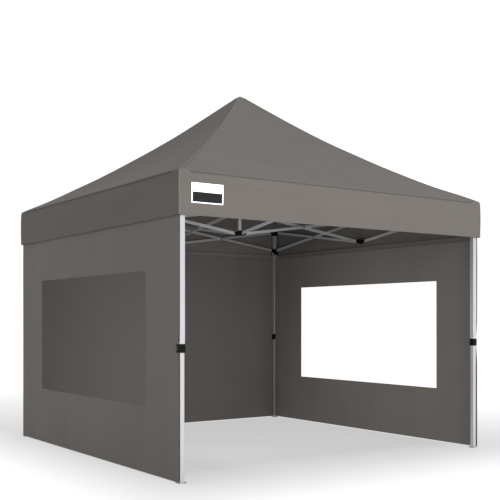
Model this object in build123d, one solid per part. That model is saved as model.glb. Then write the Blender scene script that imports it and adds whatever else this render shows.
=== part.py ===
from build123d import *

import math
import os

# A 3 m pop-up gazebo: a scissor frame on four telescopic legs, a pyramid canopy with a deep valance
# on a central mast, and three side walls, two of them with a clear window. Millimetres, +Z up. The
# origin is on the ground under the middle of the frame, and the open side faces -Y.

# ---- driving dimensions: the whole frame ----
LEG_SPACING = 2924.0  # from leg centre to leg centre along a side
UPPER_PIVOT_Z = 2096.0  # pivots of the leg tops, the upper side connectors and the upper hub
LOWER_PIVOT_Z = 1896.0  # pivots of the sliders, the lower side connectors and the lower hub
PIVOT_REACH = 46.0  # from the middle of a leg, connector or hub to its pivots
BAR_OFFSET = 7.0  # the two bars of a crossing lie this far each side of their common middle plane

# ---- scissor bars and their rivets ----
BAR_HEIGHT = 25.0
BAR_THICKNESS = 12.0
BAR_WALL = 0.8
PIN_RADIUS = 4.0
PIN_PLAY = 0.1  # radial play of a bar on its rivet
RIVET_FIT = 0.05  # radial gap of a rivet in the plastic lug that holds it
PIN_HEAD_RADIUS = 7.5
PIN_HEAD_THICKNESS = 3.0
WASHER_RADIUS = 9.0
WASHER_PLAY = 0.2  # gap each side of the washer between two crossing bars

# ---- plastic connectors ----
LUG_THICKNESS = 5.0
LUG_RADIUS = 13.0
LUG_GAP = 1.0  # between a bar and each lug beside it
LUG_ROOT = 1.0  # how far a lug runs into its block, so that they fuse
BLOCK_SIDE = 38.0
BLOCK_HEIGHT = 44.0
BLOCK_CHAMFER = 2.5

# ---- legs ----
OUTER_TUBE = 40.0
INNER_TUBE = 34.0
TUBE_WALL = 1.2
TUBE_CORNER = 3.0
LEG_TOP_Z = 2118.0
BRACKET_WALL = 4.0
BRACKET_BOTTOM_Z = 2064.0
COLLAR_MIDDLE_Z = 916.0
COLLAR_HEIGHT = 60.0
COLLAR_WALL = 2.75
COLLAR_LIP = 8.0  # height of the lip that guides the inner tube
COLLAR_LIP_GAP = 0.4
CATCH_SLOT_WIDTH = 16.0  # opening in the collar that shows the height catch
CATCH_SLOT_HEIGHT = 20.0
CATCH_RADIUS = 6.0
INNER_TUBE_TOP_Z = 1136.0
FOOT_SIDE = 64.0
FOOT_THICKNESS = 5.0
PEG_HOLE_RADIUS = 4.5
PEG_HOLE_OFFSET = 23.5  # along both sides, from the middle of the leg towards the inside

# ---- sliders: their bore clears the collar, so the frame folds past it ----
SLIDER_BORE = 47.5
SLIDER_WALL = 3.5
SLIDER_BELOW_PIVOT = 45.0
SLIDER_ABOVE_PIVOT = 17.0
BUTTON_RADIUS = 8.0
BUTTON_PLAY = 0.6
BUTTON_LENGTH = 7.0
BUTTON_START = 24.5  # from the middle of the leg to the button's inner end
BUTTON_BELOW_PIVOT = 32.0

# ---- mast and its guide ----
MAST_RADIUS = 12.5
MAST_WALL = 1.5
MAST_TOP_Z = 3105.0
MAST_CAP_HEIGHT = 20.0
MAST_PLUG_LENGTH = 25.0  # how far the cap's plug goes into the tube
GUIDE_BORE_RADIUS = 13.0
GUIDE_RADIUS = 16.5
GUIDE_BOTTOM_Z = 1926.0

# ---- canopy ----
CANOPY_SIDE = 3000.0
CANOPY_THICKNESS = 1.5  # measured level, so the sloping roof is thinner than this
VALANCE_BOTTOM_Z = 1822.0
EAVE_Z = 2130.0
PEAK_Z = 3145.0
PEAK_SIDE = 50.0
ROOF_SAG = 42.0  # how far the hips hang below straight lines, at mid-height
ROOF_STEPS = 6

# ---- side walls and windows ----
WALL_INSIDE = 1485.3  # from the middle of the frame to a wall's inner face
WALL_THICKNESS = 1.0
WALL_BOTTOM_Z = 8.0
WALL_TOP_Z = 1845.0
WALL_CORNER_GAP = 0.3
WALL_NOTCH_WIDTH = 46.0  # cut from a front edge, so that the leg's collar shows
WALL_NOTCH_MARGIN = 6.0
WINDOW_WIDTH = 2010.0
WINDOW_BOTTOM_Z = 485.0
WINDOW_TOP_Z = 1463.0
WINDOW_GAP = 0.2

# ---- places that follow from the driving dimensions ----
LEG_AT = LEG_SPACING / 2
BAY = LEG_AT - 2 * PIVOT_REACH  # level distance between a bar's end pivots
LEG_FRONT = LEG_AT + OUTER_TUBE / 2
COLLAR_BOTTOM_Z = COLLAR_MIDDLE_Z - COLLAR_HEIGHT / 2
COLLAR_SIDE = OUTER_TUBE + 2 * COLLAR_WALL
SLIDER_SIDE = SLIDER_BORE + 2 * SLIDER_WALL
MIDDLE_PIVOT_Z = (UPPER_PIVOT_Z + LOWER_PIVOT_Z) / 2
LUG_OFFSET = BAR_THICKNESS / 2 + LUG_GAP + LUG_THICKNESS / 2
FORK_WIDTH = BAR_THICKNESS + 2 * LUG_GAP + 2 * LUG_THICKNESS

# Each side's outward direction. A side's bars end at the corners "direction + turn" and
# "direction - turn", where turn is the direction turned a quarter anticlockwise.
SIDES = {"back": (0, 1), "left": (-1, 0), "front": (0, -1), "right": (1, 0)}
CORNERS = {
    "front_left": (-1, -1),
    "front_right": (1, -1),
    "back_right": (1, 1),
    "back_left": (-1, 1),
}


def quarter_turn(direction):
    """The level direction a quarter turn anticlockwise from this one."""
    return (-direction[1], direction[0])


def corner_of(side, end):
    """Name and signs of the corner at one end, +1 or -1, of a side."""
    out = SIDES[side]
    turn = quarter_turn(out)
    signs = (out[0] + end * turn[0], out[1] + end * turn[1])
    name = next(n for n, s in CORNERS.items() if s == signs)
    return name, signs


def truss_name(side, end, level):
    """Node name of a side bar, such as truss_back_left_top."""
    corner, _ = corner_of(side, end)
    front_or_back, left_or_right = corner.split("_")
    other = left_or_right if side in ("front", "back") else front_or_back
    return f"truss_{side}_{other}_{level}"


def point(along, direction, offset, lateral, z):
    """A point that lies along one level direction and is offset along another."""
    x = along * direction[0] + offset * lateral[0]
    y = along * direction[1] + offset * lateral[1]
    return (x, y, z)


def arm_pivots(side, level):
    """End pivots of the bar from the hubs to one side's middle connectors, inner end first."""
    out = SIDES[side]
    turn = quarter_turn(out)
    inner_z, outer_z, offset = (
        (UPPER_PIVOT_Z, LOWER_PIVOT_Z, BAR_OFFSET)
        if level == "top"
        else (LOWER_PIVOT_Z, UPPER_PIVOT_Z, -BAR_OFFSET)
    )
    return (
        point(PIVOT_REACH, out, offset, turn, inner_z),
        point(PIVOT_REACH + BAY, out, offset, turn, outer_z),
    )


def truss_pivots(side, end, level):
    """End pivots of a side bar, middle connector first. The top bar ends at the leg's top bracket."""
    out = SIDES[side]
    turn = quarter_turn(out)
    along = (end * turn[0], end * turn[1])
    inner_z, outer_z, offset = (
        (LOWER_PIVOT_Z, UPPER_PIVOT_Z, BAR_OFFSET)
        if level == "top"
        else (UPPER_PIVOT_Z, LOWER_PIVOT_Z, -BAR_OFFSET)
    )
    return (
        point(PIVOT_REACH, along, LEG_AT + offset, out, inner_z),
        point(PIVOT_REACH + BAY, along, LEG_AT + offset, out, outer_z),
    )


def square_tube(side, wall, bottom, top):
    """A square tube with rounded edges, standing on the Z axis."""
    outer = RectangleRounded(side, side, TUBE_CORNER)
    inner = RectangleRounded(side - 2 * wall, side - 2 * wall, TUBE_CORNER - wall)
    return Pos(0, 0, bottom) * extrude(outer - inner, top - bottom)


def rivet(length):
    """A rivet along Y, with a head at each end of its shank."""
    shank = Cylinder(PIN_RADIUS, length)
    head = Cylinder(PIN_HEAD_RADIUS, PIN_HEAD_THICKNESS)
    head = chamfer(head.edges().group_by(Axis.Z)[-1], PIN_HEAD_THICKNESS / 3)
    raised = Pos(0, 0, (length + PIN_HEAD_THICKNESS) / 2) * head
    return Rot(90, 0, 0) * (shank + raised + Rot(180, 0, 0) * raised)


def bar(start, end):
    """A flat hollow bar with round ends, and rivet holes at both ends and in the middle."""
    run = math.hypot(end[0] - start[0], end[1] - start[1])
    rise = end[2] - start[2]
    length = math.hypot(run, rise)
    outer = extrude(Plane.XZ * SlotCenterToCenter(length, BAR_HEIGHT), BAR_THICKNESS / 2, both=True)
    hollow = extrude(
        Plane.XZ * SlotCenterToCenter(length, BAR_HEIGHT - 2 * BAR_WALL),
        BAR_THICKNESS / 2 - BAR_WALL,
        both=True,
    )
    hole = Rot(90, 0, 0) * Cylinder(PIN_RADIUS + PIN_PLAY, BAR_THICKNESS * 2)
    solid = outer - hollow
    for place in (-length / 2, 0, length / 2):
        solid -= Pos(place, 0, 0) * hole
    middle = Pos(*((a + b) / 2 for a, b in zip(start, end)))
    heading = math.degrees(math.atan2(end[1] - start[1], end[0] - start[0]))
    tilt = math.degrees(math.atan2(rise, run))
    return middle * Rot(0, 0, heading) * Rot(0, -tilt, 0) * solid


def crossing_fasteners(start, end, to_partner):
    """The rivet and washer where a top bar crosses its partner, which lies towards to_partner."""
    shank = 2 * BAR_OFFSET + BAR_THICKNESS
    washer_thickness = 2 * BAR_OFFSET - BAR_THICKNESS - 2 * WASHER_PLAY
    washer = Cylinder(WASHER_RADIUS, washer_thickness) - Cylinder(PIN_RADIUS + PIN_PLAY, BAR_THICKNESS)
    heading = math.degrees(math.atan2(end[1] - start[1], end[0] - start[0]))
    middle = Pos(
        (start[0] + end[0]) / 2 + BAR_OFFSET * to_partner[0],
        (start[1] + end[1]) / 2 + BAR_OFFSET * to_partner[1],
        MIDDLE_PIVOT_Z,
    )
    place = middle * Rot(0, 0, heading)
    return [place * rivet(shank), place * Rot(90, 0, 0) * washer]


def fork(facing, plane, block_side):
    """Two lugs that face a level direction and hold a bar whose middle plane is offset by plane.

    Returns the lugs, the hole through them and the rivet, all about a connector at the origin.
    """
    lateral = quarter_turn(facing)
    offset = plane[0] * lateral[0] + plane[1] * lateral[1]
    start = block_side / 2 - LUG_ROOT
    turn = Rot(0, 0, math.degrees(math.atan2(facing[1], facing[0])))
    outline = Pos((start + PIVOT_REACH) / 2, 0) * Rectangle(PIVOT_REACH - start, 2 * LUG_RADIUS)
    outline += Pos(PIVOT_REACH, 0) * Circle(LUG_RADIUS)
    lug = extrude(Plane.XZ * outline, LUG_THICKNESS / 2, both=True)
    lugs = [turn * Pos(0, offset + way * LUG_OFFSET, 0) * lug for way in (-1, 1)]
    hole = turn * Pos(PIVOT_REACH, offset, 0) * Rot(90, 0, 0) * Cylinder(PIN_RADIUS + RIVET_FIT, FORK_WIDTH)
    pin = turn * Pos(PIVOT_REACH, offset, 0) * rivet(FORK_WIDTH)
    return lugs, hole, pin


def connector(block, block_side, forks, z):
    """A block with forks, at the pivot height z over the origin. Returns it with its rivets."""
    body = Pos(0, 0, z) * block
    pins = []
    for facing, plane in forks:
        lugs, hole, pin = fork(facing, plane, block_side)
        for lug in lugs:
            body += Pos(0, 0, z) * lug
        body -= Pos(0, 0, z) * hole
        pins.append(Pos(0, 0, z) * pin)
    return body, pins


def chamfered_block(side, height):
    """A block with chamfered upright edges, centred on the origin."""
    block = Box(side, side, height)
    return chamfer(block.edges().filter_by(Axis.Z), BLOCK_CHAMFER)


def scaled(direction, factor):
    """A level direction times a number."""
    return (direction[0] * factor, direction[1] * factor)


def middle_connector(side, level):
    """The connector in the middle of a side: two side forks and one towards the hub."""
    out = SIDES[side]
    turn = quarter_turn(out)
    side_offset = -BAR_OFFSET if level == "upper" else BAR_OFFSET
    forks = [
        (turn, scaled(out, side_offset)),
        (scaled(turn, -1), scaled(out, side_offset)),
        (scaled(out, -1), scaled(turn, side_offset)),
    ]
    z = UPPER_PIVOT_Z if level == "upper" else LOWER_PIVOT_Z
    body, pins = connector(chamfered_block(BLOCK_SIDE, BLOCK_HEIGHT), BLOCK_SIDE, forks, z)
    place = Pos(LEG_AT * out[0], LEG_AT * out[1], 0)
    return [place * solid for solid in (body, *pins)]


def hub(level):
    """The middle hub: four forks round a bore for the mast."""
    offset = BAR_OFFSET if level == "upper" else -BAR_OFFSET
    forks = [(out, scaled(quarter_turn(out), offset)) for out in SIDES.values()]
    z = UPPER_PIVOT_Z if level == "upper" else LOWER_PIVOT_Z
    bore_radius = GUIDE_BORE_RADIUS if level == "upper" else MAST_RADIUS + RIVET_FIT
    body, pins = connector(chamfered_block(BLOCK_SIDE, BLOCK_HEIGHT), BLOCK_SIDE, forks, z)
    if level == "upper":
        guide_top = UPPER_PIVOT_Z
        guide_length = guide_top - GUIDE_BOTTOM_Z
        body += Pos(0, 0, guide_top - guide_length / 2) * Cylinder(GUIDE_RADIUS, guide_length)
    body -= Pos(0, 0, z) * Cylinder(bore_radius, PEAK_Z)
    return [body, *pins]


def mast():
    """The tube that carries the peak, with an end cap no wider than the tube, so that it passes the guide."""
    bottom = LOWER_PIVOT_Z - BLOCK_HEIGHT / 2
    length = MAST_TOP_Z - bottom
    bore = MAST_RADIUS - MAST_WALL
    tube = Pos(0, 0, bottom + length / 2) * (Cylinder(MAST_RADIUS, length) - Cylinder(bore, length))
    crown = Pos(0, 0, MAST_TOP_Z + MAST_CAP_HEIGHT / 2) * Cylinder(MAST_RADIUS, MAST_CAP_HEIGHT)
    crown = fillet(crown.edges().group_by(Axis.Z)[-1], MAST_CAP_HEIGHT / 2)
    plug = Pos(0, 0, MAST_TOP_Z - MAST_PLUG_LENGTH / 2) * Cylinder(bore, MAST_PLUG_LENGTH)
    return [tube, crown + plug]


def at_leg(signs, solid):
    """Move a solid from the Z axis to a leg."""
    return Pos(LEG_AT * signs[0], LEG_AT * signs[1], 0) * solid


def outer_leg(signs):
    """The upper, outer tube of a leg."""
    return [at_leg(signs, square_tube(OUTER_TUBE, TUBE_WALL, COLLAR_BOTTOM_Z + COLLAR_LIP, LEG_TOP_Z))]


def inner_leg(signs):
    """The lower, inner tube of a leg with its welded foot plate and peg hole."""
    tube = square_tube(INNER_TUBE, TUBE_WALL, FOOT_THICKNESS, INNER_TUBE_TOP_Z)
    plate = Pos(0, 0, FOOT_THICKNESS / 2) * Box(FOOT_SIDE, FOOT_SIDE, FOOT_THICKNESS)
    plate = chamfer(plate.edges().filter_by(Axis.Z), TUBE_CORNER * 2)
    peg_hole = Pos(-signs[0] * PEG_HOLE_OFFSET, -signs[1] * PEG_HOLE_OFFSET, 0)
    plate -= peg_hole * Cylinder(PEG_HOLE_RADIUS, FOOT_THICKNESS * 4)
    return [at_leg(signs, tube + plate)]


def leg_forks(signs, offset):
    """The two forks of a leg's bracket or slider, each towards the middle of one side."""
    return [
        ((-signs[0], 0), (0, signs[1] * offset)),
        ((0, -signs[1]), (signs[0] * offset, 0)),
    ]


def collar(signs):
    """The plastic collar on the outer tube's lower end, and the round height catch in its slot."""
    block = Pos(0, 0, COLLAR_MIDDLE_Z) * chamfered_block(COLLAR_SIDE, COLLAR_HEIGHT)
    lip_bore = INNER_TUBE + 2 * COLLAR_LIP_GAP
    block -= Pos(0, 0, COLLAR_MIDDLE_Z) * Box(lip_bore, lip_bore, COLLAR_HEIGHT * 2)
    socket_bottom = COLLAR_BOTTOM_Z + COLLAR_LIP
    socket = RectangleRounded(OUTER_TUBE, OUTER_TUBE, TUBE_CORNER)
    block -= Pos(0, 0, socket_bottom) * extrude(socket, COLLAR_HEIGHT)
    slot_y = -signs[1] * (COLLAR_SIDE - CATCH_SLOT_WIDTH) / 2
    slot_x = signs[0] * (OUTER_TUBE / 2 + COLLAR_WALL)
    block -= Pos(slot_x, slot_y, COLLAR_MIDDLE_Z) * Box(
        2 * COLLAR_WALL, CATCH_SLOT_WIDTH, CATCH_SLOT_HEIGHT
    )
    catch_x = signs[0] * (OUTER_TUBE + COLLAR_WALL) / 2
    catch_y = -signs[1] * (OUTER_TUBE / 2 - CATCH_SLOT_WIDTH / 2)
    catch = Pos(catch_x, catch_y, COLLAR_MIDDLE_Z) * Rot(0, 90, 0) * Cylinder(CATCH_RADIUS, COLLAR_WALL)
    return [block, catch]


def leg_bracket(signs):
    """The cap on a leg's top with its two forks, and the collar lower down."""
    side = OUTER_TUBE + 2 * BRACKET_WALL
    top = LEG_TOP_Z + BRACKET_WALL
    height = top - BRACKET_BOTTOM_Z
    middle = BRACKET_BOTTOM_Z + height / 2
    block = Pos(0, 0, middle - UPPER_PIVOT_Z) * chamfered_block(side, height)
    body, pins = connector(block, side, leg_forks(signs, BAR_OFFSET), UPPER_PIVOT_Z)
    socket = RectangleRounded(OUTER_TUBE, OUTER_TUBE, TUBE_CORNER)
    body -= Pos(0, 0, LEG_TOP_Z - height) * extrude(socket, height)
    return [at_leg(signs, solid) for solid in (body, *pins, *collar(signs))]


def slider(signs):
    """The bracket that slides on a leg, with its two forks and the hole for its lock button."""
    height = SLIDER_ABOVE_PIVOT + SLIDER_BELOW_PIVOT
    block = Pos(0, 0, SLIDER_ABOVE_PIVOT - height / 2) * chamfered_block(SLIDER_SIDE, height)
    body, pins = connector(block, SLIDER_SIDE, leg_forks(signs, -BAR_OFFSET), LOWER_PIVOT_Z)
    body -= Pos(0, 0, LOWER_PIVOT_Z) * Box(SLIDER_BORE, SLIDER_BORE, height * 2)
    hole = Rot(0, 90, 0) * Cylinder(BUTTON_RADIUS + BUTTON_PLAY, SLIDER_WALL * 4)
    hole_x = -signs[0] * SLIDER_SIDE / 2
    body -= Pos(hole_x, 0, LOWER_PIVOT_Z - BUTTON_BELOW_PIVOT) * hole
    return [at_leg(signs, solid) for solid in (body, *pins)]


def slider_button(signs):
    """The round button that releases a slider, in the face that looks along the front or back."""
    button = Cylinder(BUTTON_RADIUS, BUTTON_LENGTH)
    button = fillet(button.edges().group_by(Axis.Z)[-1], BUTTON_RADIUS / 6)
    towards_middle = Rot(0, -90 * signs[0], 0)
    reach = BUTTON_START + BUTTON_LENGTH / 2
    place = Pos(-signs[0] * reach, 0, LOWER_PIVOT_Z - BUTTON_BELOW_PIVOT)
    return [at_leg(signs, place * towards_middle * button)]


def roof_rings():
    """Half-side and height of each level ring of the roof, from the eave to the peak."""
    low, high = CANOPY_SIDE / 2, PEAK_SIDE / 2
    rings = []
    for step in range(ROOF_STEPS + 1):
        share = step / ROOF_STEPS
        sag = 4 * ROOF_SAG * share * (1 - share)
        rings.append((low + (high - low) * share, EAVE_Z + (PEAK_Z - EAVE_Z) * share - sag))
    return rings


def roof_solid(inset, peak_z):
    """The roof's outer form, made smaller by inset on every side."""
    rings = [(half - inset, z) for half, z in roof_rings()]
    rings[-1] = (rings[-1][0], peak_z)
    sections = [Pos(0, 0, z) * Rectangle(2 * half, 2 * half) for half, z in rings]
    solid = loft(sections[:2], ruled=True)
    for lower, upper in zip(sections[1:], sections[2:]):
        solid += loft([lower, upper], ruled=True)
    return solid


def valance_solid(inset):
    """The box that the valance goes round, made smaller by inset on every side."""
    side = CANOPY_SIDE - 2 * inset
    height = EAVE_Z - VALANCE_BOTTOM_Z
    return Pos(0, 0, VALANCE_BOTTOM_Z + height / 2) * Box(side, side, height)


def canopy():
    """The pyramid roof and its valance, as one skin open underneath."""
    outside = roof_solid(0, PEAK_Z) + valance_solid(0)
    inside = roof_solid(CANOPY_THICKNESS, PEAK_Z - CANOPY_THICKNESS) + valance_solid(CANOPY_THICKNESS)
    return [outside - inside]


def upright_sheet(across, bottom, top, half_thickness):
    """A sheet that stands on the YZ plane between two places along Y."""
    start, end = across
    sheet = Box(2 * half_thickness, end - start, top - bottom)
    return Pos(0, (start + end) / 2, (bottom + top) / 2) * sheet


def side_wall(way):
    """A side wall with a window cut-out, and a notch for the collar of the front leg."""
    middle = way * (WALL_INSIDE + WALL_THICKNESS / 2)
    half = WALL_THICKNESS / 2
    wall = upright_sheet((-LEG_FRONT, WALL_INSIDE - WALL_CORNER_GAP), WALL_BOTTOM_Z, WALL_TOP_Z, half)
    wall -= upright_sheet((-WINDOW_WIDTH / 2, WINDOW_WIDTH / 2), WINDOW_BOTTOM_Z, WINDOW_TOP_Z, half)
    notch_half = COLLAR_HEIGHT / 2 + WALL_NOTCH_MARGIN
    wall -= upright_sheet(
        (-LEG_FRONT, -LEG_FRONT + WALL_NOTCH_WIDTH),
        COLLAR_MIDDLE_Z - notch_half,
        COLLAR_MIDDLE_Z + notch_half,
        half,
    )
    return [Pos(middle, 0, 0) * wall]


def back_wall():
    """The plain back wall."""
    half_width = WALL_INSIDE + WALL_THICKNESS
    middle = WALL_INSIDE + WALL_THICKNESS / 2
    wall = upright_sheet((-half_width, half_width), WALL_BOTTOM_Z, WALL_TOP_Z, WALL_THICKNESS / 2)
    return [Pos(0, middle, 0) * Rot(0, 0, 90) * wall]


def windows():
    """The clear panes of the left and right walls."""
    half_width = WINDOW_WIDTH / 2 - WINDOW_GAP
    pane = upright_sheet(
        (-half_width, half_width),
        WINDOW_BOTTOM_Z + WINDOW_GAP,
        WINDOW_TOP_Z - WINDOW_GAP,
        WALL_THICKNESS / 2,
    )
    middle = WALL_INSIDE + WALL_THICKNESS / 2
    return [Pos(way * middle, 0, 0) * pane for way in (-1, 1)]


def bars():
    """All scissor bars by node name. A top bar carries the rivet and washer of its crossing."""
    nodes = {}
    for side, out in SIDES.items():
        inward = scaled(out, -1)
        back_turn = scaled(quarter_turn(out), -1)
        ends = arm_pivots(side, "top")
        nodes[f"arm_{side}_top"] = [bar(*ends), *crossing_fasteners(*ends, back_turn)]
        nodes[f"arm_{side}_low"] = [bar(*arm_pivots(side, "low"))]
        for end in (1, -1):
            ends = truss_pivots(side, end, "top")
            nodes[truss_name(side, end, "top")] = [bar(*ends), *crossing_fasteners(*ends, inward)]
            nodes[truss_name(side, end, "low")] = [bar(*truss_pivots(side, end, "low"))]
    return nodes


def all_nodes():
    """Every node's solids by name."""
    nodes = bars()
    for side in SIDES:
        for level in ("upper", "lower"):
            nodes[f"mid_{level}_{side}"] = middle_connector(side, level)
    nodes["hub_upper"] = hub("upper")
    nodes["hub_lower"] = hub("lower")
    nodes["mast"] = mast()
    for corner, signs in CORNERS.items():
        nodes[f"outer_leg_{corner}"] = outer_leg(signs)
        nodes[f"inner_leg_{corner}"] = inner_leg(signs)
        nodes[f"leg_bracket_{corner}"] = leg_bracket(signs)
        nodes[f"slider_{corner}"] = slider(signs)
        nodes[f"slider_button_{corner}"] = slider_button(signs)
    nodes["canopy"] = canopy()
    nodes["wall_left"] = side_wall(-1)
    nodes["wall_right"] = side_wall(1)
    nodes["wall_back"] = back_wall()
    nodes["windows"] = windows()
    return nodes


def main():
    """Write one STEP file per node."""
    os.makedirs("parts", exist_ok=True)
    for name, solids in all_nodes().items():
        shapes = [piece for solid in solids for piece in solid.solids()]
        export_step(Compound(children=shapes), f"parts/{name}.step")


if __name__ == "__main__":
    main()
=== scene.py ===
# Looks of a 3 m pop-up gazebo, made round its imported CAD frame. Metres, +Z up, and the open side
# faces -Y. The cover is cut into pieces that share their borders, so that it folds with the frame.
import math

import bpy
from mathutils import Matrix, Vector, noise


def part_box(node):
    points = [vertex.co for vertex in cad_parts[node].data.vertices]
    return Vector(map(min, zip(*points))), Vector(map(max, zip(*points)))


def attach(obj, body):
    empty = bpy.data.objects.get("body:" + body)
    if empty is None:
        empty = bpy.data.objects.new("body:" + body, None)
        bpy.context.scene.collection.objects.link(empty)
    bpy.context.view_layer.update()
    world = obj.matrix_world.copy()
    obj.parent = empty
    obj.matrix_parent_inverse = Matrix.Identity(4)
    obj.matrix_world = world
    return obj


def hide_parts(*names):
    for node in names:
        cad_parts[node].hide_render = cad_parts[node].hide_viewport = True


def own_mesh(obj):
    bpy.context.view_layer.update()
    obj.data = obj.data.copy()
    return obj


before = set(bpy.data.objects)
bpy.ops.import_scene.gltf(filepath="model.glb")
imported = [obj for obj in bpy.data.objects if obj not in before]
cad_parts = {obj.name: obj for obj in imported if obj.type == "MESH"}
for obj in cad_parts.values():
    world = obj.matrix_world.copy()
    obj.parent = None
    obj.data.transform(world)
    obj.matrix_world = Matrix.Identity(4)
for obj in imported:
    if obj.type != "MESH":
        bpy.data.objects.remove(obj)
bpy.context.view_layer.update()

# ---- sizes from the frame ----
CANOPY_LOW, CANOPY_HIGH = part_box("canopy")
HALF = CANOPY_HIGH.x  # half the side of the canopy
HEM_Z = CANOPY_LOW.z
PEAK_Z = CANOPY_HIGH.z
BRACKET_CLEARANCE = 0.008  # the cloth passes this far over the leg brackets
EAVE_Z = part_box("leg_bracket_front_left")[1].z + BRACKET_CLEARANCE
WALL_LOW, WALL_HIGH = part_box("wall_left")
BACK_WALL_LOW, BACK_WALL_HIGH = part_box("wall_back")
WALL_FACE = -WALL_HIGH.x  # from the middle to the inner face of a side wall
PANE_LOW, PANE_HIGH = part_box("windows")
SLIDER_BOTTOM_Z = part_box("slider_back_left")[0].z
LEG_AT = 1.462  # from the middle to a leg's centre line
LEG_HALF = 0.020
LEG_INNER = LEG_AT - LEG_HALF  # from the middle to a leg's inner face
GUIDE_TOP_Z = 2.072  # the mast's guide tube shows below this

# ---- the walls ----
WALL_GRID = (110, 70)  # cells along and up
WALL_STANDOFF = 0.0045  # the walls clear the sliders, which come down past them in the fold
WALL_WAVES = (0.003, 0.0032)  # heights of the broad and the upright wrinkles
WALL_WAVE_FADE = 0.25  # the wrinkles die out over this height under the top edge
COLLAR_Z = 0.916  # middle of a leg's collar
COLLAR_HALF = 0.0315  # half the height of the wall's notch round the collar
NOTCH_DEPTH = 0.036
EDGE_PULL = 0.010  # how far the collar draws the wall's front edge back
EDGE_PULL_UP = 0.20  # reach of that pull, above and below the collar
EDGE_PULL_IN = 0.30  # and back along the wall
WINDOW_THICKNESS = 0.0005
WINDOW_INSET = 0.0002  # the window's face lies this far behind the cloth's
HEADER_LOW_Z = 1.807  # bottom of the doubled band along the top of the walls
HEADER_SEAM_SHADE = 0.007  # height of the strip of painted shade along the seam under it
HEADER_THICKNESS = 0.0008
HEADER_GAP = 0.0002
HEADER_COLUMNS = 60
FLAP_GRID = (5, 60)  # cells across and up
FLAP_INSET = 0.006  # the flap's inner edge lies this far outside the leg's inner face
FLAP_MARGIN = 0.012  # above the wall's bottom, and below the slider
FLAP_FRONT = 0.0142  # from the leg's inner face to the front of the flap
FLAP_WAVE = 0.002

# ---- the dark caps on the rivets where two bars cross ----
CROSSING_AT = 0.731  # level distance from the middle of a side, or of the frame
CROSSING_Z = 1.996
RIVET_HEAD_FACE = 0.016  # from the middle plane of a crossing
RIVET_CAP = (0.0085, 0.003)  # radius and height
DOME_RINGS = 4
DOME_SIDES = 16  # round each ring

# ---- the cover ----
SLOPE = (PEAK_Z - EAVE_Z) / HALF
SLOPE_ANGLE = math.atan(SLOPE)
BAND_HALF = 1.455  # the sides take in the roof from the eave up to this half-side
TOP_HALF = 0.235  # the peak piece starts at this half-side
PEAK_ROUND = 0.010  # radius of the rounded peak
FOLD_RADIUS = 0.022  # of the eave's fold
FOLD_START = 0.018  # from the eave's edge in to where the fold begins
BAND_ROWS = 3
FOLD_ROWS = 5
VALANCE_ROWS = 14
HEM_ROWS = 4
HEM_HEIGHT = 0.027
HEM_STEP = 0.0012  # what the doubled hem stands proud
HEM_STEP_HEIGHT = 0.003
HEM_LEAD = 0.012  # height of the last row of single cloth over the hem
HIP_SAG = {(-1, -1): 0.056, (1, -1): 0.073, (1, 1): 0.060, (-1, 1): 0.072}  # by corner, at mid-height
PANEL_SAG = 0.022  # what the middle of a face hangs below the line between its hips
CLOTH = 0.0010  # thickness of the coated polyester
COVER_COLUMNS = 120
PANEL_GRID = (36, 44)  # cells across and up half a roof face
PEAK_RINGS = 10
PEAK_COLUMNS = 16  # on each face
PEAK_CREASE = math.radians(35)  # the peak piece's edges show above this angle
ROOF_RIPPLE = (0.0035, 0.0045)  # height of the creases everywhere, and what is added low on the roof
ROOF_RIPPLE_FADE = 0.12  # they die out over this distance from the eave
TAPE_HALF = 0.013  # half the width of the tape over the hips and corners
TAPE_LIFT = 0.0014
TAPE_COLUMNS = 6
HIP_TAPE_TOP = 2.2 * TAPE_HALF  # half-side at which the hip tapes end under the peak
HIP_TAPE_GAP = 0.016  # from the eave's edge to their lower end
HIP_TAPE_ROWS = 60
VALANCE_BULGE = 0.005  # depth of the soft bulge in the middle of the valance's height
VALANCE_SWING = 0.004  # depth of the long waves
VALANCE_RUFFLE = 0.0035  # of the short waves
VALANCE_CREASE = 0.0065  # of the level bands
VALANCE_FADE = 0.10  # all of these die out over this distance from a corner
VALANCE_SWELL = 0.005  # what the valance stands proud between eave and hem, corners too
EAVE_SEAM_DROP = 0.011  # from the eave to the middle of the seam under it, which is drawn as a strip of painted shade
EAVE_SEAM_Z = EAVE_Z - EAVE_SEAM_DROP
EAVE_SEAM_REACH = 0.94  # share of the side that the seam runs along
EAVE_SEAM_COLUMNS = 112
EAVE_SEAM_SHADE_WIDTH = 0.012  # width of that seam's strip of painted shade
LABEL = (-1.406, -1.150, 1.908, 2.047)  # along the front, and height
LABEL_BAND = (-1.397, -1.159, 1.916, 1.984)
LABEL_GRID = (16, 8)  # cells along and up
LABEL_THICKNESS = 0.0006
LABEL_LIFT = 0.0012  # from the valance to the patch's face
LABEL_BAND_LIFT = 0.0018  # and to the dark band's face

# ---- camera, fitted to the photograph's view ----
CAMERA_PLACE = (-4.4616, -6.6485, 1.1125)
CAMERA_AZIMUTH = 34.76
CAMERA_LENS = 63.24
CAMERA_SHIFT = (-0.0071, 0.1389)

# ---- the floor and its pale shade ----
FLOOR_HALF = 60.0
RIGHT_SHADE = 0.32  # how fast the shade fades past each wall
LEFT_SHADE = 1.21
BACK_SHADE = 0.17
SHADE_ROUND = 0.6  # rounding of the shade's corners
SHADE_REACH = 3.0  # distance that the shade's places are shares of
SHADE_TONES = ((0.34, 0.542), (0.44, 0.615), (0.5, 0.65), (0.6, 0.75), (0.7, 0.86), (0.86, 1.05))

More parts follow.
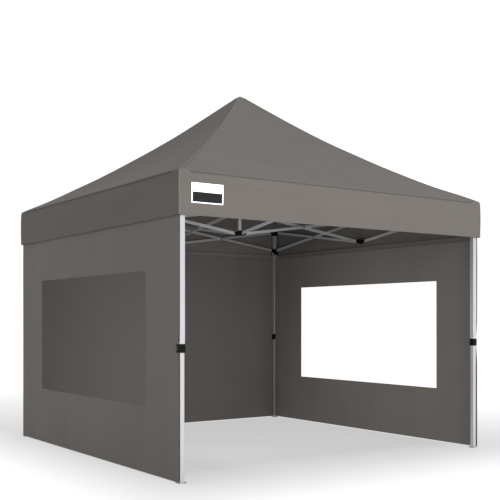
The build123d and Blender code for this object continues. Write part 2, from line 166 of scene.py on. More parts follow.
# ---- lights ----
SURROUND_STRENGTH = 1.06
FRONT_LIGHT = {"place": (0.3, -14.0, 3.2), "target": (0, 0, 1.2), "size": 7.0, "power": 2700.0}
INSIDE_FILL = {"place": (-0.95, -0.70, 1.0), "target": (1.4, -0.5, 1.0), "size": 1.2, "power": 24.0}
BACK_FILL = {"place": (0.2, -0.9, 1.0), "target": (-0.2, 1.4, 1.1), "size": 1.2, "power": 4.0}

# ---- colours and tones ----
FABRIC = (0.0820, 0.0750, 0.0694)  # warm grey
COVER_BANDS = (0.22, 0.22, 1.6)  # stretches the cover's tone into level bands
WALL_BANDS = (1, 1, 0.1)  # and the walls' into upright ones
# The walls' share is painted light: they are drawn lighter than the cover for the extra light that reaches
# them lower down.
WALL_PAINTED_LIGHT_TONE = 1.27  # shares of the fabric's colour
BINDING_TONE = 1.12
# The seams' share is painted shade: a darker strip stands for the shade in the seam lines.
SEAM_SHADE_TONE = 0.72
WEAVE_PITCH = 0.0016
LABEL_WHITE = (0.80, 0.80, 0.80)
LABEL_BLACK = (0.012, 0.012, 0.013)
LEG_GREY = (0.49, 0.49, 0.505)
TUBE_GREY = (0.37, 0.37, 0.38)
NYLON_BLACK = (0.0045, 0.0045, 0.0048)
BUTTON_GREY = (0.40, 0.40, 0.41)
HAZE_DARK = (0.43, 0.41, 0.38)
HAZE_LIGHT = (0.50, 0.48, 0.45)
PANE_ALPHA = 0.03

SMALL = 1e-6
SAME_WAY = 0.6  # a given normal is used where its dot product with the face's is above this

SIDES = {"back": (0, 1), "left": (-1, 0), "front": (0, -1), "right": (1, 0)}
CORNERS = {
    "front_left": (-1, -1),
    "front_right": (1, -1),
    "back_right": (1, 1),
    "back_left": (-1, 1),
}


def lerp(a, b, share):
    """The value that lies at share between a and b."""
    return a + (b - a) * share


def smooth(low, high, value):
    """0 below low, 1 above high, and a smooth step between."""
    share = min(max((value - low) / (high - low), 0.0), 1.0)
    return share * share * (3 - 2 * share)


def spread(start, end, count):
    """count + 1 even places from start to end."""
    return [lerp(start, end, i / count) for i in range(count + 1)]


def turned(out):
    """The level direction a quarter turn anticlockwise from out."""
    return (-out[1], out[0])


def on_side(out, along, outward, z):
    """The point of a side that lies along and outward from the middle of the frame."""
    turn = turned(out)
    return Vector((along * turn[0] + outward * out[0], along * turn[1] + outward * out[1], z))


def corner_name(out, end):
    """The corner at one end, +1 or -1, of a side."""
    turn = turned(out)
    signs = (out[0] + end * turn[0], out[1] + end * turn[1])
    return next(name for name, s in CORNERS.items() if s == signs)


# ---- mesh building ----
def finish_mesh(name, verts, faces, normals, material):
    """A smooth object from points and faces. Its points' own normals, where given, smooth it only
    where they agree with the face's."""
    mesh = bpy.data.meshes.new(name)
    mesh.from_pydata(verts, [], faces)
    mesh.materials.append(material)
    mesh.shade_smooth()
    if normals:
        loop_normals = []
        for polygon in mesh.polygons:
            flat = polygon.normal.copy()
            for corner in polygon.vertices:
                own = normals[corner]
                loop_normals.append(own if own.dot(flat) > SAME_WAY else flat)
        mesh.normals_split_custom_set(loop_normals)
    obj = bpy.data.objects.new(name, mesh)
    bpy.context.scene.collection.objects.link(obj)
    return obj


def cloth(name, point, us, vs, material, keep=None, thickness=CLOTH, flip=False):
    """A closed thin sheet over a grid. point(u, v) gives the outer face and also holds past its border,
    so that neighbouring pieces have the same normals where they meet."""
    step = 1e-4  # for the slopes that give the normals
    outer, inner, normals = [], [], []
    for v in vs:
        for u in us:
            across = point(u + step, v) - point(u - step, v)
            up = point(u, v + step) - point(u, v - step)
            normal = across.cross(up).normalized() * (-1 if flip else 1)
            outer.append(point(u, v))
            inner.append(outer[-1] - normal * thickness)
            normals.append(normal)
    columns, rows = len(us), len(vs)
    cells = {
        (i, j)
        for i in range(columns - 1)
        for j in range(rows - 1)
        if keep is None or keep((us[i] + us[i + 1]) / 2, (vs[j] + vs[j + 1]) / 2)
    }
    under = columns * rows
    faces = []

    def add(*corners):
        faces.append(corners[::-1] if flip else corners)

    for i, j in sorted(cells):
        a = j * columns + i
        b, c, d = a + 1, a + columns + 1, a + columns
        add(a, b, c, d)
        add(a + under, d + under, c + under, b + under)
        for (start, end), other in (
            ((a, b), (i, j - 1)),
            ((b, c), (i + 1, j)),
            ((c, d), (i, j + 1)),
            ((d, a), (i - 1, j)),
        ):
            if other not in cells:
                add(start, start + under, end + under, end)
    return packed_mesh(name, outer + inner, faces, normals + [-n for n in normals], material)


def packed_mesh(name, verts, faces, normals, material):
    """finish_mesh without the points that no face uses."""
    used = sorted({corner for face in faces for corner in face})
    place = {old: new for new, old in enumerate(used)}
    return finish_mesh(
        name,
        [verts[i] for i in used],
        [tuple(place[i] for i in face) for face in faces],
        [normals[i] for i in used],
        material,
    )


def dome(name, centre, axis, radius, height, material):
    """A shallow round cap that faces along a level axis."""
    up = Vector((0, 0, 1))
    side = axis.cross(up)
    verts = []
    for ring in range(DOME_RINGS):
        rise = math.pi / 2 * ring / DOME_RINGS
        for k in range(DOME_SIDES):
            turn = math.tau * k / DOME_SIDES
            level = (up * math.cos(turn) + side * math.sin(turn)) * radius * math.cos(rise)
            verts.append(centre + level + axis * height * math.sin(rise))
    verts.append(centre + axis * height)
    faces = [tuple(range(DOME_SIDES))]
    for ring in range(DOME_RINGS - 1):
        for k in range(DOME_SIDES):
            a, b = ring * DOME_SIDES + k, ring * DOME_SIDES + (k + 1) % DOME_SIDES
            faces.append((a, a + DOME_SIDES, b + DOME_SIDES, b))
    last = (DOME_RINGS - 1) * DOME_SIDES
    faces += [(last + k, len(verts) - 1, last + (k + 1) % DOME_SIDES) for k in range(DOME_SIDES)]
    return finish_mesh(name, verts, faces, None, material)


# ---- materials ----
def new_material(name):
    """A material, its nodes and links, its Principled shader, and an object-space coordinate."""
    material = bpy.data.materials.new(name)
    material.use_nodes = True
    nodes = material.node_tree.nodes
    shader = nodes["Principled BSDF"]
    place = nodes.new("ShaderNodeTexCoord")
    return material, nodes, material.node_tree.links, shader, place.outputs["Object"]


def add_noise(nodes, links, place, scale, detail=3.0, stretch=(1, 1, 1)):
    """A noise texture's factor."""
    mapping = nodes.new("ShaderNodeMapping")
    mapping.inputs["Scale"].default_value = stretch
    links.new(place, mapping.inputs["Vector"])
    texture = nodes.new("ShaderNodeTexNoise")
    texture.inputs["Scale"].default_value = scale
    texture.inputs["Detail"].default_value = detail
    links.new(mapping.outputs["Vector"], texture.inputs["Vector"])
    return texture.outputs["Fac"]


def ramp(nodes, links, factor, stops):
    """Colours at places along a factor."""
    node = nodes.new("ShaderNodeValToRGB")
    elements = node.color_ramp.elements
    while len(elements) < len(stops):
        elements.new(0.5)
    for element, (place, colour) in zip(elements, stops):
        element.position = place
        element.color = (*colour, 1.0)
    links.new(factor, node.inputs["Fac"])
    return node.outputs["Color"]


def ranged(nodes, links, factor, low, high):
    """A factor spread over low to high."""
    node = nodes.new("ShaderNodeMapRange")
    node.inputs["To Min"].default_value = low
    node.inputs["To Max"].default_value = high
    links.new(factor, node.inputs["Value"])
    return node.outputs["Result"]


def bump(nodes, links, height, distance, strength, under=None):
    """A bump normal from a height, over another one if given."""
    node = nodes.new("ShaderNodeBump")
    node.inputs["Distance"].default_value = distance
    node.inputs["Strength"].default_value = strength
    links.new(height, node.inputs["Height"])
    if under is not None:
        links.new(under, node.inputs["Normal"])
    return node.outputs["Normal"]


def shade(colour, share):
    """A colour made darker or lighter."""
    return tuple(c * share for c in colour)


def maths(nodes, links, operation, first, second=None):
    """One arithmetic step. The second value is a socket or a number."""
    node = nodes.new("ShaderNodeMath")
    node.operation = operation
    links.new(first, node.inputs[0])
    if isinstance(second, float):
        node.inputs[1].default_value = second
    elif second is not None:
        links.new(second, node.inputs[1])
    return node.outputs["Value"]


def weave(nodes, links, place, pitch):
    """Height of a plain weave: level threads by height, and upright threads by x + y."""
    split = nodes.new("ShaderNodeSeparateXYZ")
    links.new(place, split.inputs["Vector"])
    across = maths(nodes, links, "ADD", split.outputs["X"], split.outputs["Y"])
    waves = []
    for coordinate in (across, split.outputs["Z"]):
        phase = maths(nodes, links, "MULTIPLY", coordinate, math.tau / pitch)
        waves.append(maths(nodes, links, "SINE", phase))
    return maths(nodes, links, "MULTIPLY", *waves)


def fabric_material(name, colour, bands=(1, 1, 1), contrast=0.035):
    """Coated polyester: a fine weave, faint creases, and a faint tone drawn out into soft bands."""
    material, nodes, links, shader, place = new_material(name)
    clouds = add_noise(nodes, links, place, scale=1.7, detail=4.0)
    drawn = add_noise(nodes, links, place, scale=4.5, detail=3.0, stretch=bands)
    tone = maths(nodes, links, "MULTIPLY", maths(nodes, links, "ADD", clouds, drawn), 0.5)
    stops = [(0.35, shade(colour, 1 - contrast)), (0.65, shade(colour, 1 + contrast))]
    links.new(ramp(nodes, links, tone, stops), shader.inputs["Base Color"])
    creases = add_noise(nodes, links, place, scale=5.0, detail=2.0)
    folds = bump(nodes, links, creases, distance=0.012, strength=0.10)
    threads = weave(nodes, links, place, WEAVE_PITCH)
    woven = bump(nodes, links, threads, distance=0.0002, strength=0.12, under=folds)
    links.new(woven, shader.inputs["Normal"])
    links.new(ranged(nodes, links, clouds, low=0.70, high=0.84), shader.inputs["Roughness"])
    shader.inputs["Specular IOR Level"].default_value = 0.08
    shader.inputs["Sheen Weight"].default_value = 0.02
    shader.inputs["Sheen Roughness"].default_value = 0.5
    return material


def metal_material(name, colour, roughness, metallic):
    """Powder-coated or galvanised steel with uneven gloss and a slight orange-peel bump."""
    material, nodes, links, shader, place = new_material(name)
    streaks = add_noise(nodes, links, place, scale=9.0, detail=4.0, stretch=(1, 1, 0.15))
    stops = [(0.25, shade(colour, 0.92)), (0.75, shade(colour, 1.06))]
    links.new(ramp(nodes, links, streaks, stops), shader.inputs["Base Color"])
    gloss = ranged(nodes, links, streaks, low=roughness - 0.07, high=roughness + 0.07)
    links.new(gloss, shader.inputs["Roughness"])
    peel = add_noise(nodes, links, place, scale=260.0, detail=2.0)
    links.new(bump(nodes, links, peel, distance=0.0004, strength=0.15), shader.inputs["Normal"])
    shader.inputs["Metallic"].default_value = metallic
    return material


def plastic_material(name, colour, roughness):
    """Moulded nylon with a fine grain."""
    material, nodes, links, shader, place = new_material(name)
    tone = add_noise(nodes, links, place, scale=22.0, detail=3.0)
    stops = [(0.3, shade(colour, 0.8)), (0.7, shade(colour, 1.25))]
    links.new(ramp(nodes, links, tone, stops), shader.inputs["Base Color"])
    gloss = ranged(nodes, links, tone, low=roughness - 0.08, high=roughness + 0.08)
    links.new(gloss, shader.inputs["Roughness"])
    grain = add_noise(nodes, links, place, scale=700.0, detail=2.0)
    links.new(bump(nodes, links, grain, distance=0.0003, strength=0.25), shader.inputs["Normal"])
    shader.inputs["Specular IOR Level"].default_value = 0.05
    return material


def guide_material(name, colour, tube_colour, tube_metallic):
    """The upper hub's nylon, and the steel tube that hangs below its block to guide the mast."""
    material, nodes, links, shader, place = new_material(name)
    split = nodes.new("ShaderNodeSeparateXYZ")
    links.new(place, split.inputs["Vector"])
    below = maths(nodes, links, "LESS_THAN", split.outputs["Z"], GUIDE_TOP_Z)
    links.new(ramp(nodes, links, below, [(0.0, colour), (1.0, tube_colour)]), shader.inputs["Base Color"])
    links.new(maths(nodes, links, "MULTIPLY", below, tube_metallic), shader.inputs["Metallic"])
    grain = add_noise(nodes, links, place, scale=700.0, detail=2.0)
    links.new(bump(nodes, links, grain, distance=0.0003, strength=0.2), shader.inputs["Normal"])
    links.new(ranged(nodes, links, grain, low=0.40, high=0.55), shader.inputs["Roughness"])
    return material


def window_material():
    """Clear flexible PVC: nearly invisible, with a faint haze that varies a little."""
    material, nodes, links, shader, place = new_material("clear_pvc")
    haze = add_noise(nodes, links, place, scale=2.0, detail=3.0)
    links.new(ramp(nodes, links, haze, [(0.3, HAZE_DARK), (0.7, HAZE_LIGHT)]), shader.inputs["Base Color"])
    links.new(ranged(nodes, links, haze, low=0.10, high=0.18), shader.inputs["Roughness"])
    ripples = add_noise(nodes, links, place, scale=3.0, detail=1.0)
    links.new(bump(nodes, links, ripples, distance=0.01, strength=0.1), shader.inputs["Normal"])
    shader.inputs["Alpha"].default_value = PANE_ALPHA
    return material


fabric = fabric_material("cover_polyester", FABRIC, COVER_BANDS, contrast=0.04)
# The walls' fabric is the cover's colour made lighter, as painted light.
wall_fabric_painted_lighter = fabric_material("wall_polyester_painted_lighter", shade(FABRIC, WALL_PAINTED_LIGHT_TONE), WALL_BANDS, contrast=0.05)
binding = fabric_material("seam_binding", shade(FABRIC, BINDING_TONE))
# Painted shade: a darker copy of the fabric for the dark lines along the seam under the eave and under the
# wall headers.
seam_painted_shade = fabric_material("seam_shadow", shade(FABRIC, SEAM_SHADE_TONE))
label_white = fabric_material("label_white", LABEL_WHITE)
label_black = fabric_material("label_black", LABEL_BLACK)
clear_pvc = window_material()
leg_metal = metal_material("leg_powder_coat", LEG_GREY, roughness=0.38, metallic=0.75)
truss_metal = metal_material("truss_galvanised", TUBE_GREY, roughness=0.36, metallic=0.45)
black_plastic = plastic_material("black_nylon", NYLON_BLACK, roughness=0.55)
hub_plastic = guide_material("upper_hub_nylon", NYLON_BLACK, TUBE_GREY, tube_metallic=0.45)
button_plastic = plastic_material("button_nylon", BUTTON_GREY, roughness=0.40)


# ---- shape of the cover ----
def sag_at(x, y, size):
    """How far the roof hangs below straight lines here, at mid-height."""
    to_right = (x / size + 1) / 2
    to_back = (y / size + 1) / 2
    hips = lerp(
        lerp(HIP_SAG[-1, -1], HIP_SAG[1, -1], to_right),
        lerp(HIP_SAG[-1, 1], HIP_SAG[1, 1], to_right),
        to_back,
    )
    lateral = min(abs(x), abs(y)) / size
    return hips + PANEL_SAG * (1 - lateral * lateral)


def roof_ripple(x, y, size):
    """Soft creases, strongest a hand's width above the eave and gone at the eave and the peak."""
    everywhere, low_down = ROOF_RIPPLE
    near_eave = smooth(HALF, HALF - ROOF_RIPPLE_FADE, size)
    strength = near_eave * (everywhere + low_down * smooth(0.7, 1.35, size)) * smooth(0.05, 0.4, size)
    broad = noise.noise(Vector((x * 1.6, y * 1.6, 3.1)))
    fine = noise.noise(Vector((x * 4.5, y * 4.5, 8.7)))
    return strength * (broad + 0.45 * fine)


def roof_height(x, y):
    """Height of the roof's outer face."""
    size = max(abs(x), abs(y), SMALL)
    rounded = math.sqrt(size * size + PEAK_ROUND * PEAK_ROUND) - PEAK_ROUND
    share = 1 - size / HALF
    straight = PEAK_Z - SLOPE * lerp(size, rounded, smooth(0.5, 0.1, size))
    return straight - 4 * share * (1 - share) * sag_at(x, y, size) + roof_ripple(x, y, size)


def roof_point(out, lateral, size):
    """The roof's point in one side's face, by its lateral share, -1 to 1, and its ring's half-side."""
    place = on_side(out, lateral * size, size, 0)
    place.z = roof_height(place.x, place.y)
    return place


def valance_wave(out, along, z):
    """How far the valance stands proud: a soft bulge, and waves that grow towards the hem."""
    share = (EAVE_Z - z) / (EAVE_Z - HEM_Z)
    at_corner = smooth(HALF, HALF - VALANCE_FADE, abs(along))
    phase = 11.0 * out[0] + 5.0 * out[1]
    bulge = VALANCE_BULGE * math.sin(math.pi * min(max(share, 0), 1) ** 0.8)
    swing = noise.noise(Vector((along * 1.3, share * 0.8, phase)))
    ruffle = noise.noise(Vector((along * 4.2, share * 2.4, phase + 7)))
    crease = noise.noise(Vector((along * 0.9, share * 3.4, phase + 15)))
    hanging = smooth(0.0, 0.9, share)
    soft = hanging * (VALANCE_SWING * swing + VALANCE_RUFFLE * ruffle) + VALANCE_CREASE * crease
    return at_corner * (bulge * (0.8 + 0.7 * swing) + soft)


def valance_size(z):
    """Half-side of the valance at a height."""
    share = min(max((EAVE_Z - z) / (EAVE_Z - HEM_Z), 0.0), 1.0)
    return HALF + VALANCE_SWELL * math.sin(math.pi * share) ** 0.4


def eave_profile():
    """(half-side, height) down a cover side, from the band's inner edge over the fold to the hem."""
    rings = [(size, None) for size in spread(BAND_HALF, HALF - FOLD_START, BAND_ROWS)]
    tangent = FOLD_RADIUS * math.tan((math.pi / 2 - SLOPE_ANGLE) / 2)
    for angle in spread(math.pi / 2 - SLOPE_ANGLE, 0, FOLD_ROWS):
        size = HALF - FOLD_RADIUS + FOLD_RADIUS * math.cos(angle)
        rings.append((size, EAVE_Z - tangent + FOLD_RADIUS * math.sin(angle)))
    hem_top = HEM_Z + HEM_HEIGHT
    seam_bottom = EAVE_SEAM_Z - EAVE_SEAM_SHADE_WIDTH / 2
    rings += [(valance_size(z), z) for z in spread(seam_bottom, hem_top + HEM_LEAD, VALANCE_ROWS)]
    rings += [(valance_size(hem_top + HEM_STEP_HEIGHT), hem_top + HEM_STEP_HEIGHT)]
    rings += [(valance_size(z) + HEM_STEP, z) for z in spread(hem_top, HEM_Z, HEM_ROWS)]
    return rings


EAVE_RINGS = eave_profile()
FIRST_FIXED_ROW = next(i for i, (_, z) in enumerate(EAVE_RINGS) if z is not None)


def cover_point(out, lateral, row):
    """A point of a cover side: lateral share, and a place between two rows of its profile."""
    index = min(max(int(math.floor(row)), 0), len(EAVE_RINGS) - 2)
    part = row - index
    ends = []
    for size, z in EAVE_RINGS[index : index + 2]:
        if z is None:
            ends.append(roof_point(out, lateral, size))
        else:
            bulge = valance_wave(out, lateral * size, z)
            ends.append(on_side(out, lateral * size, size + bulge, z))
    return ends[0].lerp(ends[1], part)


def half_name(side, out, end):
    """The half, such as left or front, of a side's roof and truss that lies at one end, +1 or -1."""
    front_or_back, left_or_right = corner_name(out, end).split("_")
    return left_or_right if side in ("front", "back") else front_or_back


def make_cover_sides():
    """The valance of each side, with the band of roof next to the eave."""
    rows = list(range(len(EAVE_RINGS)))
    for side, out in SIDES.items():
        piece = cloth(
            f"cover_side_{side}",
            lambda u, v: cover_point(out, u, v),
            spread(-1, 1, COVER_COLUMNS),
            rows,
            fabric,
            flip=True,
        )
        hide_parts("canopy")
        ride_valance(piece, side)


def make_roof_panels():
    """The two halves of each roof face, from the band up to the peak piece."""
    for side, out in SIDES.items():
        for end in (1, -1):
            half = half_name(side, out, end)
            piece = cloth(
                f"roof_panel_{side}_{half}",
                lambda u, v: roof_point(out, u, v),
                spread(min(end, 0), max(end, 0), PANEL_GRID[0]),
                spread(TOP_HALF, BAND_HALF, PANEL_GRID[1]),
                fabric,
                flip=True,
            )
            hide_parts("canopy")
            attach(piece, f"truss_{side}_{half}_top")
            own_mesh(piece)


def make_peak():
    """The top of the roof, where all four faces meet."""
    rings = spread(0.0, TOP_HALF, PEAK_RINGS)
    columns = spread(-1, 1, PEAK_COLUMNS)[:-1]
    verts = [Vector((0, 0, PEAK_Z))]
    for size in rings[1:]:
        for out in ((0, -1), (1, 0), (0, 1), (-1, 0)):
            verts += [roof_point(out, lateral, size) for lateral in columns]
    around = 4 * len(columns)
    faces = [(0, 1 + k, 1 + (k + 1) % around) for k in range(around)]
    for ring in range(len(rings) - 2):
        for k in range(around):
            a, b = 1 + ring * around + k, 1 + ring * around + (k + 1) % around
            faces.append((a, a + around, b + around, b))
    under = len(verts)
    top_faces = list(faces)
    verts += [v - Vector((0, 0, CLOTH / math.cos(SLOPE_ANGLE))) for v in verts]
    faces += [tuple(i + under for i in face[::-1]) for face in top_faces]
    last = 1 + (len(rings) - 2) * around
    for k in range(around):
        a, b = last + k, last + (k + 1) % around
        faces.append((a, a + under, b + under, b))
    piece = finish_mesh("roof_peak", verts, faces, None, fabric)
    piece.data.set_sharp_from_angle(angle=PEAK_CREASE)
    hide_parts("canopy")
    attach(piece, "hub_upper")
    edge_z = roof_height(TOP_HALF, 0)
    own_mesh(piece)
    size = 2 * TOP_HALF


def corner_fold(signs, across, size):
    """Level place on the edge where two faces meet, or a little way across it onto one of them."""
    on_x = size - max(across, 0)
    on_y = size + min(across, 0)
    return signs[0] * on_x, signs[1] * on_y


def hip_point(signs, across, size):
    """A point of the tape over a hip."""
    x, y = corner_fold(signs, across, size)
    return Vector((x, y, roof_height(x, y) + TAPE_LIFT))


def corner_point(signs, across, row):
    """A point of the tape down a corner of the valance, by its place between two rows of the profile."""
    index = min(max(int(math.floor(row)), FIRST_FIXED_ROW), len(EAVE_RINGS) - 2)
    (size_a, z_a), (size_b, z_b) = EAVE_RINGS[index : index + 2]
    size = lerp(size_a, size_b, row - index) + TAPE_LIFT
    x, y = corner_fold(signs, across, size)
    return Vector((x, y, lerp(z_a, z_b, row - index)))


def make_seams():
    """The tapes over the hips and down the corners of the valance, and the seam under the eave, drawn as a
    darker strip of painted shade.
    """
    offsets = spread(-TAPE_HALF, TAPE_HALF, TAPE_COLUMNS)
    for corner, signs in CORNERS.items():
        flip = signs[0] * signs[1] < 0
        hip = cloth(
            f"hip_tape_{corner}",
            lambda u, v: hip_point(signs, u, v),
            offsets,
            spread(HIP_TAPE_TOP, HALF - HIP_TAPE_GAP, HIP_TAPE_ROWS),
            binding,
            flip=flip,
        )
        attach(hip, f"leg_{corner}")
        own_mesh(hip)
        edge = cloth(
            f"corner_tape_{corner}",
            lambda u, v: corner_point(signs, u, v),
            offsets,
            list(range(FIRST_FIXED_ROW, len(EAVE_RINGS))),
            binding,
            flip=not flip,
        )
        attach(edge, f"leg_{corner}")
    for side, out in SIDES.items():
        low, high = EAVE_SEAM_Z - EAVE_SEAM_SHADE_WIDTH / 2, EAVE_SEAM_Z + EAVE_SEAM_SHADE_WIDTH / 2
        # The seam under the eave: a darker strip of painted shade.
        seam = cloth(
            f"eave_seam_{side}",
            lambda u, v: on_side(
                out, u * HALF, valance_size(v) + valance_wave(out, u * HALF, v) + TAPE_LIFT / 2, v
            ),
            spread(-EAVE_SEAM_REACH, EAVE_SEAM_REACH, EAVE_SEAM_COLUMNS),
            [high, low],
            seam_painted_shade,
            flip=True,
        )
        ride_valance(seam, side)


def ride_valance(piece, side):
    """Move a piece with one side of the cover."""
    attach(piece, f"mid_upper_{side}")
    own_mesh(piece)


def make_label():
    """A plain white patch with a dark lower band, near the left end of the front valance."""
    out = SIDES["front"]
    for name, (left, right, low, high), lift, material in (
        ("label_patch", LABEL, LABEL_LIFT, label_white),
        ("label_band", LABEL_BAND, LABEL_BAND_LIFT, label_black),
    ):
        patch = cloth(
            name,
            lambda u, v: on_side(out, u, valance_size(v) + valance_wave(out, u, v) + lift, v),
            spread(left, right, LABEL_GRID[0]),
            spread(high, low, LABEL_GRID[1]),
            material,
            thickness=LABEL_THICKNESS,
            flip=True,
        )
        ride_valance(patch, "front")


# ---- the walls ----
def wall_wave(along, z, phase):
    """How far a wall stands outward: long upright wrinkles, which fade towards its top edge."""
    broad = noise.noise(Vector((along * 1.1, z * 0.5, phase)))
    upright = noise.noise(Vector((along * 4.0, z * 0.9, phase + 4)))
    fade = smooth(WALL_HIGH.z, WALL_HIGH.z - WALL_WAVE_FADE, z)
    return WALL_STANDOFF + max(0.0, fade * (WALL_WAVES[0] * broad + WALL_WAVES[1] * upright))


def wall_point(out, along, z):
    """A point of a wall's outer face."""
    phase = 3.0 * out[0] + 13.0 * out[1]
    wave = wall_wave(along, z, phase)
    return on_side(out, along, WALL_FACE + CLOTH + wave, z)


def merged(*groups, gap=0.004):
    """Places in order, without those that nearly repeat another of an earlier group."""
    kept = []
    for group in groups:
        kept += [p for p in group if all(abs(p - k) > gap for k in kept)]
    return sorted(kept)


def side_wall_point(out, front_sign, y, z):
    """A side wall's point by its y. Its front edge is pulled back a little round the collar."""
    reach = smooth(EDGE_PULL_UP, 0.0, abs(z - COLLAR_Z))
    pull = EDGE_PULL * reach * smooth(WALL_LOW.y + EDGE_PULL_IN, WALL_LOW.y, y)
    return wall_point(out, front_sign * (y + pull), z)


def make_side_wall(side, way):
    """A side wall with its window cut-out and the notch for the front leg's collar."""
    out = SIDES[side]
    along_sign = turned(out)[1]
    low, high = WALL_LOW, WALL_HIGH
    pane = (PANE_LOW.y, PANE_HIGH.y, PANE_LOW.z, PANE_HIGH.z)
    notch = (COLLAR_Z - COLLAR_HALF, COLLAR_Z + COLLAR_HALF)
    columns, rows = WALL_GRID
    ys = merged([low.y, high.y, pane[0], pane[1], low.y + NOTCH_DEPTH], spread(low.y, high.y, columns))
    zs = merged([low.z, high.z, pane[2], pane[3], *notch], spread(low.z, high.z, rows))

    def keep(y, z):
        in_window = pane[0] < y < pane[1] and pane[2] < z < pane[3]
        in_notch = y < low.y + NOTCH_DEPTH and notch[0] < z < notch[1]
        return not (in_window or in_notch)

    piece = cloth(
        f"wall_{side}_cloth",
        lambda y, z: side_wall_point(out, along_sign, y, z),
        ys,
        zs,
        wall_fabric_painted_lighter,
        keep,
        flip=along_sign < 0,
    )
    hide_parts(f"wall_{side}")
    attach(piece, f"mid_upper_{side}")
    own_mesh(piece)
    glass = cloth(
        f"window_{side}",
        lambda y, z: side_wall_point(out, along_sign, y, z) - Vector((way * WINDOW_INSET, 0, 0)),
        [y for y in ys if pane[0] - SMALL <= y <= pane[1] + SMALL],
        [z for z in zs if pane[2] - SMALL <= z <= pane[3] + SMALL],
        clear_pvc,
        thickness=WINDOW_THICKNESS,
        flip=along_sign < 0,
    )
    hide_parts("windows")
    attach(glass, f"mid_upper_{side}")
    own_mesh(glass)


def make_back_wall():
    """The plain back wall."""
    low, high = BACK_WALL_LOW, BACK_WALL_HIGH
    out = SIDES["back"]
    piece = cloth(
        "wall_back_cloth",
        lambda along, z: wall_point(out, along, z),
        spread(low.x, high.x, WALL_GRID[0]),
        spread(low.z, high.z, WALL_GRID[1]),
        wall_fabric_painted_lighter,
    )
    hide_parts("wall_back")
    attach(piece, "mid_upper_back")
    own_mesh(piece)


def make_wall_headers():
    """The doubled band along the top of each wall, on its inner face, with a darker strip of painted shade
    along the seam under it.
    """
    for side in ("left", "back", "right"):
        out = SIDES[side]
        inward = Vector((*out, 0)) * -(CLOTH + HEADER_GAP)
        for name, low, high, material in (
            (f"wall_header_{side}", HEADER_LOW_Z, WALL_HIGH.z, fabric),
            # The dark strip under the header is painted shade along its seam.
            (f"header_seam_{side}", HEADER_LOW_Z - HEADER_SEAM_SHADE, HEADER_LOW_Z, seam_painted_shade),
        ):
            piece = cloth(
                name,
                lambda u, v: wall_point(out, u, v) + inward,
                spread(WALL_LOW.y, -WALL_LOW.y, HEADER_COLUMNS),
                [low, high],
                material,
                thickness=HEADER_THICKNESS,
            )
            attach(piece, f"mid_upper_{side}")
            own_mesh(piece)


def flap_point(signs, across, z):
    """A point of a back leg's flap, which lies in front of the leg from the side wall inward."""
    wave = FLAP_WAVE * noise.noise(Vector((across * 9.0, z * 2.2, 21.0 + signs[0])))
    return Vector((signs[0] * across, LEG_INNER - FLAP_FRONT - abs(wave), z))


def make_leg_flaps():
    """The flap of each side wall's back edge, which closes round the front of its back leg."""
    low_z = WALL_LOW.z + FLAP_MARGIN
    high_z = SLIDER_BOTTOM_Z - FLAP_MARGIN
    inner_edge = LEG_INNER + FLAP_INSET
    for corner in ("back_left", "back_right"):
        signs = CORNERS[corner]
        piece = cloth(
            f"leg_flap_{corner}",
            lambda u, v: flap_point(signs, u, v),
            spread(inner_edge, WALL_FACE, FLAP_GRID[0]),
            spread(low_z, high_z, FLAP_GRID[1]),
            wall_fabric_painted_lighter,
            flip=signs[0] < 0,
        )
        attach(piece, f"leg_{corner}")
        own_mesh(piece)


def make_rivet_caps():
    """A dark cap on both ends of each crossing's rivet."""
    for side, out in SIDES.items():
        arm_place = on_side(out, 0, CROSSING_AT, CROSSING_Z)
        crossings = [(f"arm_{side}_top", Vector((*turned(out), 0)), arm_place)]
        for end in (1, -1):
            body = f"truss_{side}_{half_name(side, out, end)}_top"
            place = on_side(out, end * CROSSING_AT, LEG_AT, CROSSING_Z)
            crossings.append((body, Vector((*out, 0)), place))
        for body, axis, place in crossings:
            for letter, facing in (("a", axis), ("b", -axis)):
                name = f"rivet_cap_{body.removesuffix('_top')}_{letter}"
                cap = dome(name, place + facing * RIVET_HEAD_FACE, facing, *RIVET_CAP, black_plastic)
                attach(cap, body)


# ---- the frame's own materials ----
def paint_frame():
    """Better materials on the CAD nodes that stay."""
    materials = {
        "truss": truss_metal,
        "arm": truss_metal,
        "mast": truss_metal,
        "outer": leg_metal,
        "inner": leg_metal,
        "leg": black_plastic,
        "mid": black_plastic,
        "hub": black_plastic,
        "slider": black_plastic,
    }
    for name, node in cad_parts.items():
        if node.hide_render:
            continue
        material = materials[name.split("_")[0]]
        if name.startswith("slider_button"):
            material = button_plastic
        if name == "hub_upper":
            material = hub_plastic
        node.data.materials.clear()
        node.data.materials.append(material)


# ---- floor, light and camera ----
def beyond_wall(nodes, links, distance, rate):
    """0 inside the walls, and outside them a distance that grows at a rate."""
    outside = maths(nodes, links, "GREATER_THAN", distance, WALL_FACE)
    grown = maths(nodes, links, "MULTIPLY", distance, rate)
    level = maths(nodes, links, "ADD", grown, WALL_FACE * (1 - rate))
    return maths(nodes, links, "MULTIPLY", outside, level)


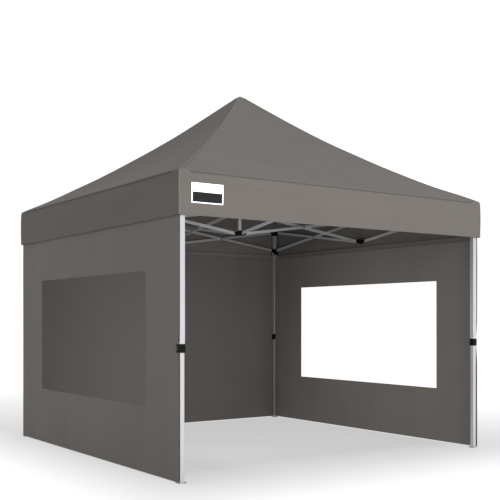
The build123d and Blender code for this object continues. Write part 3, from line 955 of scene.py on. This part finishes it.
def make_floor():
    """A white studio floor with the pale pool of shade that the tent throws."""
    corners = [(x * FLOOR_HALF, y * FLOOR_HALF, 0) for x, y in CORNERS.values()]
    mesh = bpy.data.meshes.new("floor")
    mesh.from_pydata(corners, [], [(0, 1, 2, 3)])
    floor = bpy.data.objects.new("floor", mesh)
    bpy.context.scene.collection.objects.link(floor)
    material, nodes, links, shader, place = new_material("studio_floor")
    split = nodes.new("ShaderNodeSeparateXYZ")
    links.new(place, split.inputs["Vector"])
    x, y = split.outputs["X"], split.outputs["Y"]
    minus_x = maths(nodes, links, "MULTIPLY", x, -1.0)
    minus_y = maths(nodes, links, "MULTIPLY", y, -1.0)
    across = maths(
        nodes,
        links,
        "MAXIMUM",
        beyond_wall(nodes, links, x, RIGHT_SHADE),
        beyond_wall(nodes, links, minus_x, LEFT_SHADE),
    )
    along = maths(nodes, links, "MAXIMUM", beyond_wall(nodes, links, y, BACK_SHADE), minus_y)
    ring = nodes.new("ShaderNodeMath")
    ring.operation = "SMOOTH_MAX"
    ring.inputs[2].default_value = SHADE_ROUND
    links.new(across, ring.inputs[0])
    links.new(along, ring.inputs[1])
    share = nodes.new("ShaderNodeMapRange")
    share.inputs["From Max"].default_value = SHADE_REACH
    links.new(ring.outputs["Value"], share.inputs["Value"])
    stops = [(along_share, (tone, tone, tone)) for along_share, tone in SHADE_TONES]
    tones = ramp(nodes, links, share.outputs["Result"], stops)
    shader.inputs["Base Color"].default_value = (0.05, 0.05, 0.05, 1)
    shader.inputs["Roughness"].default_value = 1.0
    shader.inputs["Specular IOR Level"].default_value = 0.0
    shader.inputs["Emission Strength"].default_value = 1.0
    links.new(tones, shader.inputs["Emission Color"])
    mesh.materials.append(material)


def area_light(name, place, target, size, power):
    """A square soft light that faces a point, and shows neither in the picture nor in the metal."""
    data = bpy.data.lights.new(name, "AREA")
    data.energy = power
    data.size = size
    light = bpy.data.objects.new(name, data)
    light.location = place
    light.rotation_euler = (Vector(target) - Vector(place)).to_track_quat("-Z", "Y").to_euler()
    light.visible_camera = False
    light.visible_glossy = False
    bpy.context.scene.collection.objects.link(light)
    return light


def shade_from(light, objects):
    """Keep a light off some objects."""
    shaded = bpy.data.collections.new(f"{light.name}_shaded")
    for obj in objects:
        shaded.objects.link(obj)
    for entry in shaded.collection_objects:
        entry.light_linking.link_state = "EXCLUDE"
    light.light_linking.receiver_collection = shaded


def make_light():
    """An even white surround, a broad light from the open side, and two soft fills inside."""
    world = bpy.data.worlds.new("studio")
    world.use_nodes = True
    background = world.node_tree.nodes["Background"]
    background.inputs["Color"].default_value = (1, 1, 1, 1)
    background.inputs["Strength"].default_value = SURROUND_STRENGTH
    bpy.context.scene.world = world
    front = area_light("front_light", **FRONT_LIGHT)
    back_pieces = [node for name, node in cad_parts.items() if "back" in name]
    back_cloths = ("wall_back_cloth", "leg_flap_back_left", "leg_flap_back_right")
    shade_from(front, [*back_pieces, *(bpy.data.objects[name] for name in back_cloths)])
    fill = area_light("inside_fill", **INSIDE_FILL)
    shade_from(fill, [bpy.data.objects[name] for name in ("wall_left_cloth", "window_left", "window_right")])
    area_light("back_fill", **BACK_FILL)


def make_camera():
    """The camera at the photograph's view."""
    data = bpy.data.cameras.new("camera")
    data.lens = CAMERA_LENS
    data.shift_x, data.shift_y = CAMERA_SHIFT
    camera = bpy.data.objects.new("camera", data)
    camera.location = CAMERA_PLACE
    camera.rotation_euler = (math.radians(90), 0, math.radians(-CAMERA_AZIMUTH))
    bpy.context.scene.collection.objects.link(camera)
    bpy.context.scene.camera = camera
    bpy.context.scene.view_settings.view_transform = "Standard"


make_camera()
make_floor()
make_cover_sides()
make_roof_panels()
make_peak()
make_seams()
make_label()
make_side_wall("left", -1)
make_side_wall("right", 1)
make_back_wall()
make_wall_headers()
make_leg_flaps()
make_rivet_caps()
paint_frame()
make_light()

bpy.context.view_layer.update()
